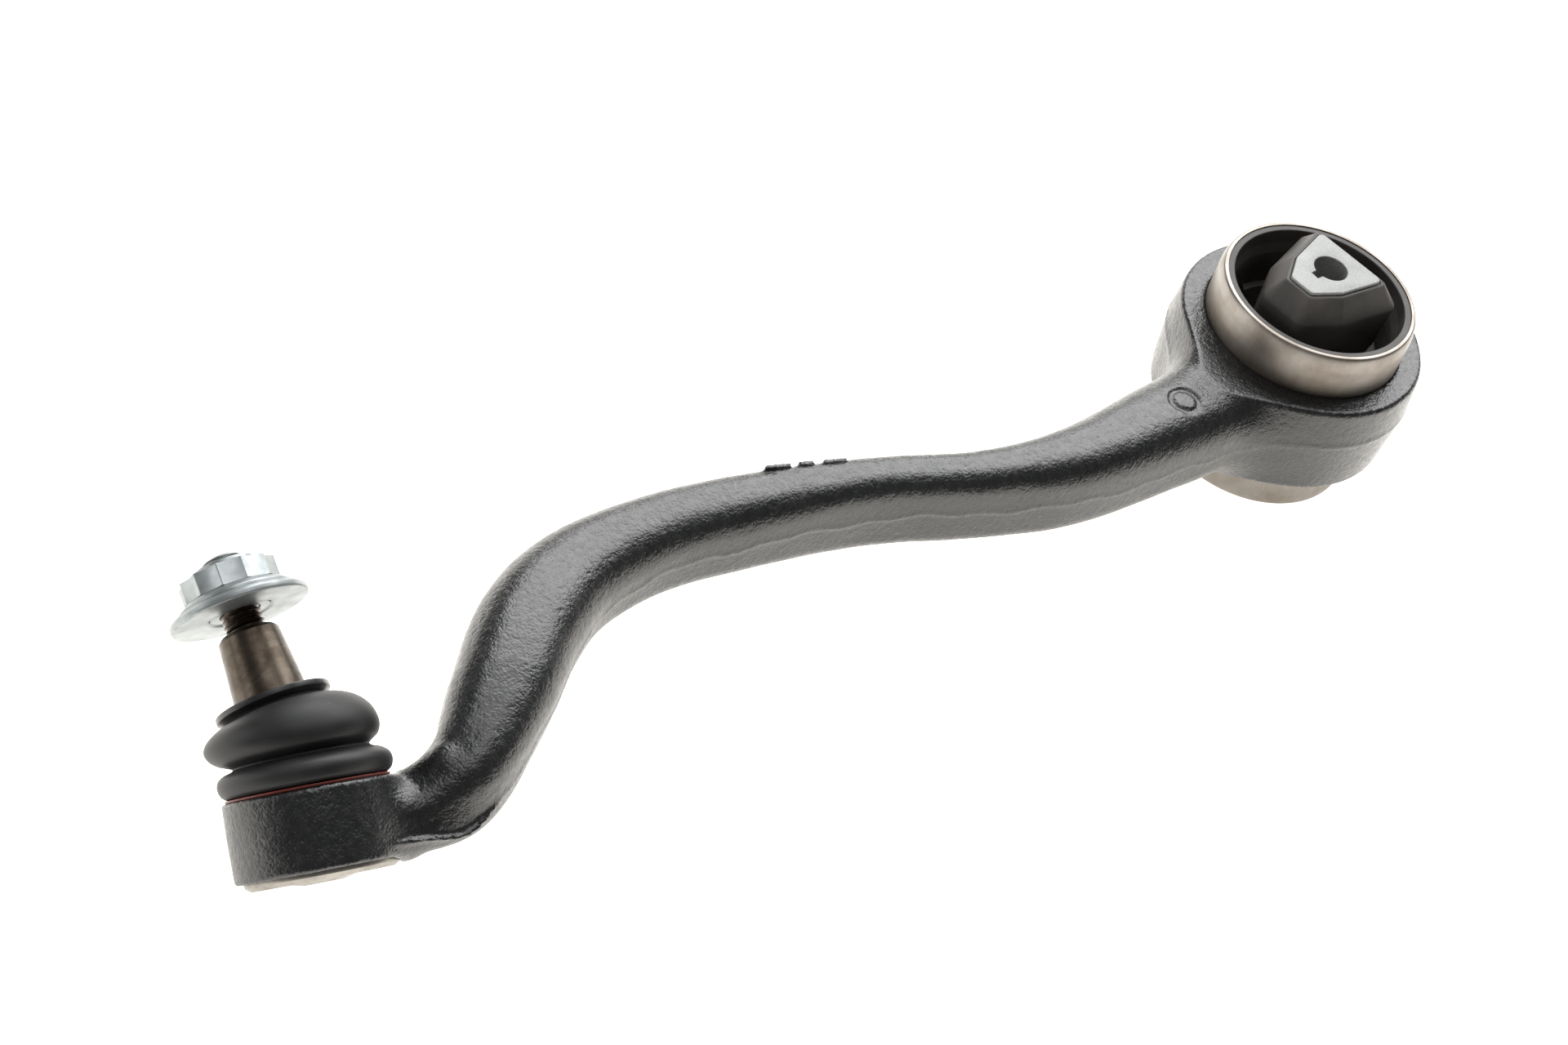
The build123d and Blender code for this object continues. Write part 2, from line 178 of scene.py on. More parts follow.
def sleeveSteel():
    look = {"steel": (0.27, 0.25, 0.228), "brown": (0.20, 0.172, 0.145), "bright": (0.38, 0.36, 0.335)}
    f = Finish("sleeveSteel")
    bands = f.noise(9, 3.0, 0.5, f.stretch((3, 3, 26)))
    blotch = f.noise(55, 4.0, 0.6)
    scuff = f.noise(420, 2.0, 0.6, f.stretch((1, 1, 0.25)))
    colour = f.mix(f.between(blotch, 0.38, 0.66), look["steel"], look["brown"])
    colour = f.mix(f.between(scuff, 0.6, 0.8, 0.0, 0.3), colour, look["bright"])
    f.set(Base_Color=colour, Metallic=0.92)
    f.set(Roughness=f.between(bands * 0.5 + blotch * 0.5, 0.3, 0.7, 0.34, 0.56))
    f.bump(bands * 0.5 + scuff * 0.5, 0.00012, 0.5)
    return f.material


def bushRubber():
    look = {"dark": (0.044, 0.041, 0.038), "pale": (0.080, 0.073, 0.067)}
    f = Finish("bushRubber")
    cloud = f.noise(60, 4.0, 0.6)
    grain = f.noise(1300, 2.0, 0.6)
    f.set(Base_Color=f.mix(f.between(cloud, 0.35, 0.7), look["dark"], look["pale"]))
    f.set(Roughness=f.between(cloud, 0.3, 0.7, 0.48, 0.66), Specular_IOR_Level=0.42)
    f.bump(grain * 0.5 + cloud * 0.5, 0.0001, 0.6)
    return f.material


def coreMetal():
    look = {"pale": (0.36, 0.365, 0.355), "grey": (0.20, 0.205, 0.20)}
    f = Finish("coreMetal")
    grain = f.noise(1500, 2.0, 0.7)
    cloud = f.noise(90, 3.0, 0.5)
    f.set(Base_Color=f.mix(f.between(grain * 0.7 + cloud * 0.3, 0.36, 0.64), look["grey"], look["pale"]))
    f.set(Metallic=0.55, Roughness=f.between(grain, 0.3, 0.7, 0.5, 0.68))
    f.bump(grain, 0.0001, 0.7)
    return f.material


def bootRubber():
    look = {"dark": (0.0085, 0.0088, 0.0095), "pale": (0.017, 0.0172, 0.018), "dust": (0.16, 0.155, 0.145)}
    f = Finish("bootRubber")
    cloud = f.noise(70, 3.0, 0.5)
    grain = f.noise(1500, 2.0, 0.5)
    specks = f.between(f.cells(210), 0.045, 0.02)
    colour = f.mix(f.between(cloud, 0.35, 0.7), look["dark"], look["pale"])
    f.set(Base_Color=f.mix(specks * f.between(cloud, 0.5, 0.62), colour, look["dust"]))
    f.set(Roughness=f.between(cloud, 0.3, 0.7, 0.46, 0.56), Specular_IOR_Level=0.38)
    f.bump(grain * 0.4 + cloud * 0.6, 0.00008, 0.4)
    return f.material


def turnedSteel(name, steel, tint, rough, metal, grooves, end=None):
    # machined along an axis: fine rings come from noise stretched across it
    # end is a bright finish that starts at a height above the ball
    f = Finish(name)
    alongStud = tuple(Vector((0, 1, 0)).rotation_difference(studAxis).to_euler())
    rings = f.noise(1, 2.0, 0.5, f.stretch((60, grooves, 60), alongStud))
    blotch = f.noise(130, 4.0, 0.65)
    colour = f.mix(f.between(blotch, 0.4, 0.68), steel, tint)
    if end:
        dot = {"operation": "DOT_PRODUCT"}
        reach = f.node("ShaderNodeVectorMath", dot, {0: f.place, 1: studAxis}, out="Value")
        rise = reach - float(ball.dot(studAxis))
        colour = f.mix(f.between(rise, end["from"] * mm, end["to"] * mm), colour, end["colour"])
    f.set(Base_Color=colour, Metallic=metal)
    f.set(Roughness=f.between(rings * 0.5 + blotch * 0.5, 0.3, 0.7, rough - 0.09, rough + 0.1))
    f.bump(rings * 0.6 + blotch * 0.4, 0.00006, 0.5)
    return f.material


def moulded(name, dark, pale, rough, specular=0.4):
    f = Finish(name)
    cloud = f.noise(150, 3.0, 0.5)
    grain = f.noise(1200, 2.0, 0.5)
    f.set(Base_Color=f.mix(f.between(cloud, 0.35, 0.7), dark, pale), Specular_IOR_Level=specular)
    f.set(Roughness=f.between(cloud, 0.3, 0.7, rough - 0.05, rough + 0.07))
    f.bump(grain * 0.5 + cloud * 0.5, 0.00006, 0.5)
    return f.material


# the machined end of the thread, from one height above the ball to the next
threadEnd = {"colour": (0.42, 0.435, 0.44), "from": 76.0, "to": 76.6}
finishes = {
    "arm_paint": armPaint(),
    "sleeve_steel": sleeveSteel(),
    "bush_rubber": bushRubber(),
    "core_metal": coreMetal(),
    "boot_rubber": bootRubber(),
    "stud_steel": turnedSteel("studSteel", (0.085, 0.070, 0.055), (0.045, 0.033, 0.024), 0.33, 0.9, 900,
                              threadEnd),
    "nut_zinc": turnedSteel("nutZinc", (0.33, 0.355, 0.36), (0.24, 0.262, 0.267), 0.40, 0.8, 300),
    "cap_metal": turnedSteel("capMetal", (0.34, 0.32, 0.29), (0.24, 0.225, 0.20), 0.42, 0.8, 300),
    "cage_steel": turnedSteel("cageSteel", (0.30, 0.30, 0.31), (0.2, 0.2, 0.21), 0.45, 0.9, 300),
    "spring_wire": turnedSteel("springWire", (0.4, 0.4, 0.41), (0.3, 0.3, 0.31), 0.35, 0.95, 300),
    "ring_plastic": moulded("ringPlastic", (0.03, 0.03, 0.033), (0.05, 0.05, 0.053), 0.5),
    "race_plastic": moulded("racePlastic", (0.66, 0.63, 0.55), (0.74, 0.71, 0.63), 0.4),
    "preload_rubber": moulded("preloadRubber", (0.03, 0.03, 0.03), (0.05, 0.05, 0.05), 0.6),
    "seal_red": moulded("sealRed", (0.115, 0.018, 0.012), (0.17, 0.03, 0.02), 0.42),
    "collar_black": moulded("collarBlack", (0.010, 0.010, 0.0105), (0.018, 0.018, 0.019), 0.3, 0.5),
    "insert_nylon": moulded("insertNylon", (0.22, 0.235, 0.24), (0.30, 0.315, 0.32), 0.45),
}
slotOf = {entry["node"]: entry["material_slot"] for entry in frame["record"]["subparts"]}
for nodeName, piece in frame["nodes"].items():
    piece.data.materials.clear()
    piece.data.materials.append(finishes[slotOf[nodeName]])
print("materials", len(finishes))


# ---- mesh helpers

def makeMesh(name, points, faces):
    # points are in metres in the part's frame
    mesh = bpy.data.meshes.new(name)
    mesh.from_pydata(np.asarray(points).tolist(), [], faces)
    mesh.validate()
    mesh.update()
    return mesh


def makePiece(name, mesh, node):
    # a piece stands for one node of the frame and takes its finish
    for polygon in mesh.polygons:
        polygon.use_smooth = True
    mesh.materials.clear()
    mesh.materials.append(finishes[slotOf[node]])
    piece = bpy.data.objects.new(name, mesh)
    bpy.context.scene.collection.objects.link(piece)
    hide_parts(node)
    print("piece", name, len(mesh.polygons))
    return piece


def meshPiece(name, points, faces, body, node):
    # without a body the piece is left unattached to any body
    piece = makePiece(name, makeMesh(name, points, faces.tolist()), node)
    if body:
        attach(piece, body)
    return piece


def smoothCurve(points, perSpan):
    # Catmull-Rom through a list of points of any width
    p = np.asarray(points, float)
    p = np.vstack([2 * p[0] - p[1], p, 2 * p[-1] - p[-2]])
    t = np.linspace(0, 1, perSpan, endpoint=False)[:, None]
    spans = []
    for a, b, c, d in zip(p[:-3], p[1:-2], p[2:-1], p[3:]):
        square, cube = 2 * a - 5 * b + 4 * c - d, 3 * b - a - 3 * c + d
        spans.append(0.5 * (2 * b + (c - a) * t + square * t**2 + cube * t**3))
    return np.vstack(spans + [p[-2:-1]])


def ringFaces(rings, around):
    # quads of a closed surface of revolution whose profile is itself a loop
    r, a = np.meshgrid(np.arange(rings), np.arange(around), indexing="ij")
    s, b = (r + 1) % rings, (a + 1) % around
    return np.stack([r * around + a, s * around + a, s * around + b, r * around + b], -1).reshape(-1, 4)


def sideways(axis):
    first = Vector((0, 0, 1)).cross(axis)
    first = first.normalized() if first.length > 0.01 else Vector((1, 0, 0))
    return np.array(first), np.array(axis.cross(first))


def spokes(axis, around):
    # directions all round an axis, and their angles
    first, second = sideways(axis)
    angle = np.arange(around) * 2 * math.pi / around
    return np.cos(angle)[:, None] * first + np.sin(angle)[:, None] * second, angle


def tubeFaces(rings, around):
    # quads of a tube that is open at both ends of its list of rings
    return ringFaces(rings, around)[:(rings - 1) * around].tolist()


def turned(loop, centre, axis, around=144):
    # a closed loop of (radius, height) in millimetres, turned about an axis
    loop = np.asarray(loop, float) * mm
    radial = spokes(axis, around)[0]
    points = np.array(centre) + loop[:, None, :1] * radial + loop[:, None, 1:] * np.array(axis)
    return points.reshape(-1, 3), ringFaces(len(loop), around)


def rounded(outline, radius, steps=4):
    # closed outline with its corners turned into arcs; a corner is (r, h) or (r, h, its own radius)
    corners = [(np.array(c[:2], float), c[2] if len(c) > 2 else radius) for c in outline]
    result = []
    for i, (corner, r) in enumerate(corners):
        before, after = corners[i - 1][0] - corner, corners[(i + 1) % len(corners)][0] - corner
        lengths = np.linalg.norm(before), np.linalg.norm(after)
        u, v = before / lengths[0], after / lengths[1]
        half = math.acos(max(-1, min(1, float(u @ v)))) / 2
        if r <= 0 or half > 1.5:
            result.append(corner)
            continue
        cut = min(r / math.tan(half), 0.45 * min(lengths))
        for k in range(steps + 1):
            w = k / steps
            start, end = corner + u * cut, corner + v * cut
            result.append((1 - w)**2 * start + 2 * w * (1 - w) * corner + w**2 * end)
    return np.array(result)


# ---- forging, as a distance field with soft joins, meshed at one cell size

forging = {
    # middle of the bar (x, y, z), width, height, lean towards the ball joint: as the frame's bar
    "stations": (
        (-22, -6.5, 0, 40, 36.5, 0), (-72, -7, 0, 32.5, 36.5, 0), (-116, -6.5, 0, 24.5, 35, 0),
        (-151, 1.5, 0, 18.5, 32.5, 0), (-190, 16.5, 0, 18, 32.5, 0), (-234, 28, 0, 22.5, 32.5, 0),
        (-267, 33, 0, 24.5, 32.5, 0), (-297.5, 31, 0, 29, 34.5, 0), (-321.5, 20.5, 0, 32, 37.5, 0),
        (-344, 3, -0.5, 30, 36.5, 0), (-366, -13, -3, 23.5, 30, 0.2), (-385, -15, -7.2, 21, 21, 0.7),
        (-401, -8, -9.4, 23, 20, 1),
    ),
    "cornerShare": 0.40, "cell": 0.8, "sideDraft": 0.05, "sideSwell": 0.6,
    "eyeRadius": 46.0, "eyeHalf": 19.0, "eyeDraft": 1.5, "eyeEdge": 1.6, "eyeFlash": 0.35, "eyeFlashWidth": 0.7,
    "partingHeight": 4.0, "sleeveRadius": 36.25, "eyeBlend": 15.0, "housingBlend": 7.0,
    "housingRadius": 24.5, "housingTop": 6.2, "housingBottom": -16.8, "housingEdge": 0.9,
    "cavityRadius": 15.5, "cavityRoof": 1.4, "mouthRadius": 12.2, "capRadius": 22.0, "capSeat": 2.0,
    "bootRoom": 25.8,
    "flashHeight": 0.45, "flashWidth": 0.8, "flashWander": 1.1, "dieStep": 0.35, "dieStepWidth": 0.35,
    # the flash stands higher on the neck: from, to, how it fades at both, and how its line drops before it
    "neckFlash": 1.9, "neckFlashFrom": -398.0, "neckFlashTo": -366.0, "neckFlashFades": (6, 8),
    "neckFlashDrop": 7.0, "neckFlashDropLead": 14, "neckFlashDropLength": 26,
    "neckBump": ((-385, -8.5, -5), (-373, -10.5, 5)), "neckBumpRadius": 5.0, "neckBumpBlend": 3.0,
    "ringMark": (-69.0, -8.0), "ringMarkRadius": 5.0, "ringMarkHalf": 1.1, "ringMarkDepth": 0.9,
    # plain raised bars: middle and half length of each, then what they share
    "bars": ((-219, 31.6, 4.6), (-209.5, 28.6, 2.6), (-200, 25.2, 4.2)), "barAlong": (0.945, 0.327),
    "barHalfWidth": 0.9, "barHalfHeight": 1.3, "barLevel": 15, "barRise": 0.45, "barBlend": 0.8,
    "unevenness": 0.10,
    # beyond every face of the forging, for bores that run out of it
    "clear": 40,
}


def soften(a, b, k):
    # smooth union of two distances
    h = np.clip(0.5 + 0.5 * (b - a) / k, 0, 1)
    return b * (1 - h) + a * h - k * h * (1 - h)


def roundEdged(first, second, edge):
    # distance to a corner of two faces whose edge is rounded, from the distances to the faces
    a, b = first + edge, second + edge
    return np.hypot(np.maximum(a, 0), np.maximum(b, 0)) + np.minimum(np.maximum(a, b), 0) - edge


def surfaceNet(field, low, step):
    inside = field < 0
    n = np.array(field.shape) - 1
    corners = [(i, j, k) for i in (0, 1) for j in (0, 1) for k in (0, 1)]
    count = sum(inside[i:i + n[0], j:j + n[1], k:k + n[2]].astype(np.int8) for i, j, k in corners)
    cells = np.argwhere((count > 0) & (count < 8))
    total, hits = np.zeros((len(cells), 3)), np.zeros(len(cells))
    for corner in corners:
        for axis in range(3):
            if corner[axis]:
                continue
            start = np.array(corner)
            end = start.copy()
            end[axis] = 1
            fa, fb = field[tuple((cells + start).T)], field[tuple((cells + end).T)]
            cross = (fa < 0) != (fb < 0)
            share = np.where(cross, fa / np.where(cross, fa - fb, 1), 0)
            total += np.where(cross[:, None], start + share[:, None] * (end - start), 0)
            hits += cross
    points = low + step * (cells + total / hits[:, None])
    number = np.full(n, -1)
    number[tuple(cells.T)] = np.arange(len(cells))
    faces = []
    for axis in range(3):
        u, v = (axis + 1) % 3, (axis + 2) % 3
        shift = [slice(None)] * 3
        shift[axis] = slice(0, -1)
        ahead = list(shift)
        ahead[axis] = slice(1, None)
        change = inside[tuple(shift)] != inside[tuple(ahead)]
        at = np.argwhere(change)
        at = at[(at[:, u] > 0) & (at[:, v] > 0) & (at[:, u] < n[u]) & (at[:, v] < n[v])]
        du, dv = np.eye(3, dtype=int)[u], np.eye(3, dtype=int)[v]
        quad = np.stack([number[tuple((at - a).T)] for a in (0 * du, du, du + dv, dv)], -1)
        flip = inside[tuple(at.T)]
        quad[~flip] = quad[~flip][:, ::-1]
        faces.append(quad)
    return points, np.vstack(faces)


def barFrames():
    # the bar's middle, direction, up and section, sampled evenly enough along its length
    f = forging
    curve = smoothCurve(f["stations"], 36)
    middle, size, lean = curve[:, :3], curve[:, 3:5], np.clip(curve[:, 5], 0, 1)
    along = np.gradient(middle, axis=0)
    along /= np.linalg.norm(along, axis=1)[:, None]
    up = (1 - lean)[:, None] * np.array((0, 0, 1.0)) + lean[:, None] * np.array(housingAxis)
    up -= (up * along).sum(1)[:, None] * along
    up /= np.linalg.norm(up, axis=1)[:, None]
    return middle, along, up, np.cross(up, along), size


def barField(x, y, z):
    # the bar's section at the nearest place along it, with its draft, die step and flash
    f = forging
    middle, along, up, side, size = barFrames()
    flat = np.stack(np.meshgrid(x, y, indexing="ij"), -1).reshape(-1, 2)
    index = np.arange(len(middle))

    def pick(values, at):
        return np.stack([np.interp(at, index, column) for column in values.T], -1)

    spacing = np.linalg.norm(np.gradient(middle[:, :2], axis=0), axis=1)
    flow = along[:, :2] / np.linalg.norm(along[:, :2], axis=1)[:, None]
    t = np.concatenate([
        ((part[:, None, :] - middle[None, :, :2])**2).sum(-1).argmin(1) for part in np.array_split(flat, 60)])
    for settle in range(6):
        ahead = ((flat - pick(middle, t)[:, :2]) * pick(flow, t)).sum(1)
        t = np.clip(t + 0.8 * ahead / np.interp(t, index, spacing), 0, index[-1])
    shape = (len(x), len(y), 1)
    beyond = np.where((t == 0) | (t == index[-1]), np.abs(ahead), 0).reshape(shape)
    m, s, u, wh = (pick(values, t) for values in (middle, side, up, size))
    dx, dy = (flat[:, 0] - m[:, 0]).reshape(shape), (flat[:, 1] - m[:, 1]).reshape(shape)
    dz = z[None, None, :] - m[:, 2].reshape(shape)
    across, height = (sum(d * way[:, i].reshape(shape) for i, d in enumerate((dx, dy, dz))) for way in (s, u))
    a, b = wh[:, 0].reshape(shape) / 2, wh[:, 1].reshape(shape) / 2
    corner = 2 * f["cornerShare"] * np.minimum(a, b)

    fadeIn, fadeOut = f["neckFlashFades"]
    neck = np.clip((f["neckFlashTo"] - m[:, 0]) / fadeOut, 0, 1)
    neck = neck * np.clip((m[:, 0] - f["neckFlashFrom"]) / fadeIn, 0, 1)
    lead = (f["neckFlashTo"] + f["neckFlashDropLead"] - m[:, 0]) / f["neckFlashDropLength"]
    drop = f["neckFlashDrop"] * np.clip(lead, 0, 1)
    wander = (np.sin(m[:, 0] / 7.3) + np.sin(m[:, 0] / 3.1 + 1)) * f["flashWander"] / 2
    parting = (f["partingHeight"] / 2 + wander - drop).reshape(shape)
    a = a + f["sideSwell"] - f["sideDraft"] * np.abs(height - parting)
    a = a - f["dieStep"] / (1 + np.exp((height - parting) / f["dieStepWidth"]))
    bar = roundEdged(np.abs(across) - a, np.abs(height) - b, corner)
    ridge = (f["flashHeight"] + f["neckFlash"] * neck).reshape(shape)
    ridge = ridge * np.exp(-((height - parting) / f["flashWidth"])**2)
    bar = bar - ridge * np.clip(np.abs(across) / a * 2 - 1, 0, 1)
    return np.where(beyond > 0, np.maximum(bar, beyond), bar)


def eyeField(radius, gz):
    # a drafted drum about Z with a thin line where the dies met
    f = forging
    level = gz - f["partingHeight"]
    wall = f["eyeRadius"] - f["eyeDraft"] * np.abs(level) / f["eyeHalf"]
    line = f["eyeFlash"] * np.exp(-(level / f["eyeFlashWidth"])**2)
    return roundEdged(radius - wall - line, np.abs(gz) - f["eyeHalf"], f["eyeEdge"])


def addMarks(body, gx, gy, gz):
    # step on the neck, a plain sunk ring and plain raised bars
    f = forging
    foot, head = (np.array(end, float) for end in f["neckBump"])
    rod, places = head - foot, (gx, gy, gz)
    share = sum((place - foot[i]) * rod[i] for i, place in enumerate(places))
    share = np.clip(share / (rod**2).sum(), 0, 1)
    gap = sum((place - foot[i] - share * rod[i])**2 for i, place in enumerate(places))
    body = soften(body, np.sqrt(gap) - f["neckBumpRadius"], f["neckBumpBlend"])
    markRadius = np.hypot(gx - f["ringMark"][0], gy - f["ringMark"][1])
    groove = f["ringMarkHalf"] - np.abs(markRadius - f["ringMarkRadius"])
    top = f["stations"][0][4] / 2
    body = np.maximum(body, np.minimum(groove, gz - top + f["ringMarkDepth"]))
    c, s = f["barAlong"]
    for x0, y0, half in f["bars"]:
        along, side = (gx - x0) * c - (gy - y0) * s, (gx - x0) * s + (gy - y0) * c
        flat = np.maximum(np.abs(along) - half, np.abs(side) - f["barHalfWidth"])
        box = np.maximum(flat, np.abs(gz - f["barLevel"]) - f["barHalfHeight"] - f["barRise"])
        body = soften(body, box, f["barBlend"])
    return body


def forgingField(x, y, z):
    f = forging
    gx, gy, gz = x[:, None, None], y[None, :, None], z[None, None, :]
    radius = np.hypot(gx, gy)
    body = soften(barField(x, y, z), eyeField(radius, gz), f["eyeBlend"])
    body = np.maximum(body, np.abs(gz) - f["eyeHalf"])

    # ball housing: a drum about its own axis
    centre = np.array(ball) / mm
    px, py, pz = gx - centre[0], gy - centre[1], gz - centre[2]
    h = np.array(housingAxis)
    rise = px * h[0] + py * h[1] + pz * h[2]
    out = np.sqrt(np.maximum(px**2 + py**2 + pz**2 - rise**2, 0))
    mid, half = (f["housingTop"] + f["housingBottom"]) / 2, (f["housingTop"] - f["housingBottom"]) / 2
    drum = roundEdged(out - f["housingRadius"], np.abs(rise - mid) - half, f["housingEdge"])
    body = addMarks(soften(body, drum, f["housingBlend"]), gx, gy, gz)

    # uneven forged skin, then the bores, which stay true
    wave = np.sin(gx / 5.1 + 1.3 * np.sin(gy / 7.3)) * np.sin(gy / 4.3 + gz / 6.1) * np.sin(gz / 5.2 + gx / 8.7)
    body = body + f["unevenness"] * wave
    body = np.maximum(body, f["sleeveRadius"] - radius)
    seat, clear = f["housingBottom"] + f["capSeat"], f["clear"]
    bores = ((f["bootRoom"], f["housingTop"], clear), (f["capRadius"], -clear, seat),
             (f["cavityRadius"], -clear, f["housingTop"] - f["cavityRoof"]), (f["mouthRadius"], 0, clear))
    for bore, floor, ceiling in bores:
        body = np.maximum(body, np.minimum(bore - out, np.minimum(rise - floor, ceiling - rise)))
    return body


def buildForging():
    low, high = (np.array(corner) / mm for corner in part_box("arm_forging"))
    step = forging["cell"]
    margin = 3 * step
    x, y, z = (np.arange(low[i] - margin, high[i] + margin, step) for i in range(3))
    field = forgingField(x, y, z).astype(np.float32)
    points, faces = surfaceNet(field, np.array((x[0], y[0], z[0])), step)
    meshPiece("armForging", points * mm, faces, "arm", "arm_forging")


buildForging()


# ---- dust boot: rings that lean from the housing's axis to the stud's

boot = {
    "outer": (
        (22.4, 7.1), (23.2, 7.5), (24.3, 8.7), (24.8, 10.8), (24.2, 12.8), (22.4, 14.2), (20.2, 14.9),
        (19.4, 15.6), (20.4, 16.4), (22.7, 17.7), (24.2, 19.8), (24.6, 22.2), (24.1, 24.6), (22.4, 26.9),
        (19.6, 28.7), (16.9, 29.6), (15.3, 30.1), (14.6, 30.9), (14.6, 31.8),
    ),
    "wall": 1.8, "bendFrom": 11.5, "bendTo": 32.0, "around": 180, "perSpan": 7,
}


def buildBoot():
    outer = smoothCurve(boot["outer"], boot["perSpan"])
    along = np.gradient(outer, axis=0)
    along /= np.linalg.norm(along, axis=1)[:, None]
    inner = outer + boot["wall"] * np.stack([-along[:, 1], along[:, 0]], -1)
    loop = np.vstack([outer, inner[::-1]])
    share = np.clip((loop[:, 1] - boot["bendFrom"]) / (boot["bendTo"] - boot["bendFrom"]), 0, 1)
    share = share * share * (3 - 2 * share)
    radial = spokes(housingAxis, boot["around"])[0]
    rings = []
    for (radius, height), lean in zip(loop * mm, share):
        turn = np.array(Matrix.Rotation(restTilt * lean, 3, tiltAxis))
        rings.append(np.array(ball) + (radius * radial + height * np.array(housingAxis)) @ turn.T)
    piece = meshPiece("dustBoot", np.vstack(rings), ringFaces(len(loop), boot["around"]), None, "dust_boot")
    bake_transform(piece)


buildBoot()


# ---- seal collar, seal ring and closing cap

collar = {
    "bore": 10.85, "neck": 13.6, "disc": 16.8, "start": 28.2, "top": 33.6, "discHeight": 1.7,
    # the dish in its top: where it starts and ends, measured in from the disc and out from the bore
    "dishFrom": 2.6, "dishSlope": 3.4, "dishRim": 0.9, "dishDepth": 0.5,
}
sealRing = {"bore": 18.6, "radius": 23.3, "base": 6.2, "height": 0.8}
cap = {
    "outline": (
        (0.01, -20.2, 0), (5.5, -20.2, 1.5), (9.5, -19.35, 2), (20.3, -19.2, 0.6), (22.0, -18.0, 0.8),
        (22.0, -14.8, 0), (9.6, -14.8, 0), (8.6, -15.8, 0), (0.01, -15.8, 0),
    ),
}


def buildCollar():
    c = collar
    dish = c["top"] - c["dishDepth"]
    outline = (
        (c["bore"], c["start"]), (c["neck"], c["start"]), (c["neck"], c["top"] - 2 * c["discHeight"]),
        (c["disc"], c["top"] - c["discHeight"]), (c["disc"], c["top"]), (c["disc"] - c["dishFrom"], c["top"]),
        (c["disc"] - c["dishSlope"], dish), (c["bore"] + c["dishRim"], dish), (c["bore"], c["top"]),
    )
    meshPiece("sealCollar", *turned(rounded(outline, 0.35), ball, studAxis), "collar", "seal_collar")


def buildSealRing():
    s = sealRing
    top = s["base"] + s["height"]
    outline = ((s["bore"], s["base"]), (s["radius"], s["base"]), (s["radius"], top), (s["bore"], top))
    meshPiece("sealingRing", *turned(rounded(outline, 0.3), ball, housingAxis), "arm", "sealing_ring")


buildCollar()
buildSealRing()
meshPiece("closingCap", *turned(rounded(cap["outline"], 0.5), ball, housingAxis), "arm", "closing_cap")


# ---- stud with its thread, washer and nut

stud = {
    "ball": 12.5, "neck": 7.5, "neckTop": 19.0, "seat": 10.8, "seatStart": 27.6, "taperStart": 33.6,
    "taperEnd": 54.8, "taperBig": 10.7, "taperSmall": 8.95, "chamfer": 1.2,
    "thread": 5.93, "threadDepth": 0.75, "pitch": 1.5, "end": 78.0, "endChamfer": 0.8,
    "socket": 2.6, "socketDepth": 3.0, "around": 120,
    # the thread starts this far above the taper and reaches its depth over the second length
    "threadStart": 0.4, "threadFade": 1.2,
}


def buildStud():
    s = stud
    heights, radii = [], []

    def run(h0, h1, r0, r1, steps):
        for k in range(steps):
            heights.append(h0 + (h1 - h0) * k / steps)
            radii.append(r0 + (r1 - r0) * k / steps)

    neckStart = math.sqrt(s["ball"]**2 - s["neck"]**2)
    for k in range(1, 40):
        angle = math.pi * k / 40
        height = -s["ball"] * math.cos(angle)
        if height < neckStart:
            heights.append(height)
            radii.append(s["ball"] * math.sin(angle))
    run(neckStart, s["neckTop"], s["neck"], s["neck"], 6)
    run(s["neckTop"], s["seatStart"], s["neck"], s["seat"], 8)
    run(s["seatStart"], s["taperStart"], s["seat"], s["seat"], 3)
    run(s["taperStart"], s["taperEnd"] - s["chamfer"], s["taperBig"], s["taperSmall"], 24)
    run(s["taperEnd"] - s["chamfer"], s["taperEnd"], s["taperSmall"], s["taperSmall"] - s["chamfer"], 3)
    root = s["thread"] - s["threadDepth"]
    run(s["taperEnd"], s["taperEnd"] + 0.02, s["taperSmall"] - s["chamfer"], root, 1)
    threadFrom = len(heights)
    run(s["taperEnd"] + 0.05, s["end"] - s["endChamfer"], s["thread"], s["thread"], 170)
    threadTo = len(heights)
    run(s["end"] - s["endChamfer"], s["end"], s["thread"] - 0.2, s["thread"] - 1.0, 2)
    run(s["end"], s["end"], s["thread"] - 1.2, s["socket"], 2)
    heights += [s["end"], s["end"] - s["socketDepth"], s["end"] - s["socketDepth"]]
    radii += [s["socket"], s["socket"], 0.02]
    around = s["around"]
    radial, angle = spokes(studAxis, around)
    h, r = np.array(heights), np.array(radii)
    grid = np.repeat(r[:, None], around, 1)
    turns = h[:, None] / s["pitch"] - angle[None, :] / (2 * math.pi)
    vee = np.abs((turns % 1.0) * 2 - 1)
    cut = s["threadDepth"] * np.clip(1.25 * vee - 0.1, 0, 1)
    fade = np.clip((h - s["taperEnd"] - s["threadStart"]) / s["threadFade"], 0, 1)[:, None]
    thread = slice(threadFrom, threadTo)
    grid[thread] -= (cut * fade + s["threadDepth"] * (1 - fade))[thread]
    points = np.array(ball) + grid[:, :, None] * mm * radial + h[:, None, None] * mm * np.array(studAxis)
    rings = len(h)
    faces = tubeFaces(rings, around)
    faces.append(list(range(around))[::-1])
    faces.append(list(range((rings - 1) * around, rings * around)))
    mesh = makeMesh("ballStud", points.reshape(-1, 3), faces)
    piece = makePiece("ballStud", mesh, "ball_stud")
    mesh.set_sharp_from_angle(angle=math.radians(38))
    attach(piece, "stud")


buildStud()

washer = {
    "bore": 9.1, "radius": 20.5, "base": 60.5, "thickness": 2.8, "lead": 0.9, "rimDrop": 1.0, "rimStep": 0.8,
}


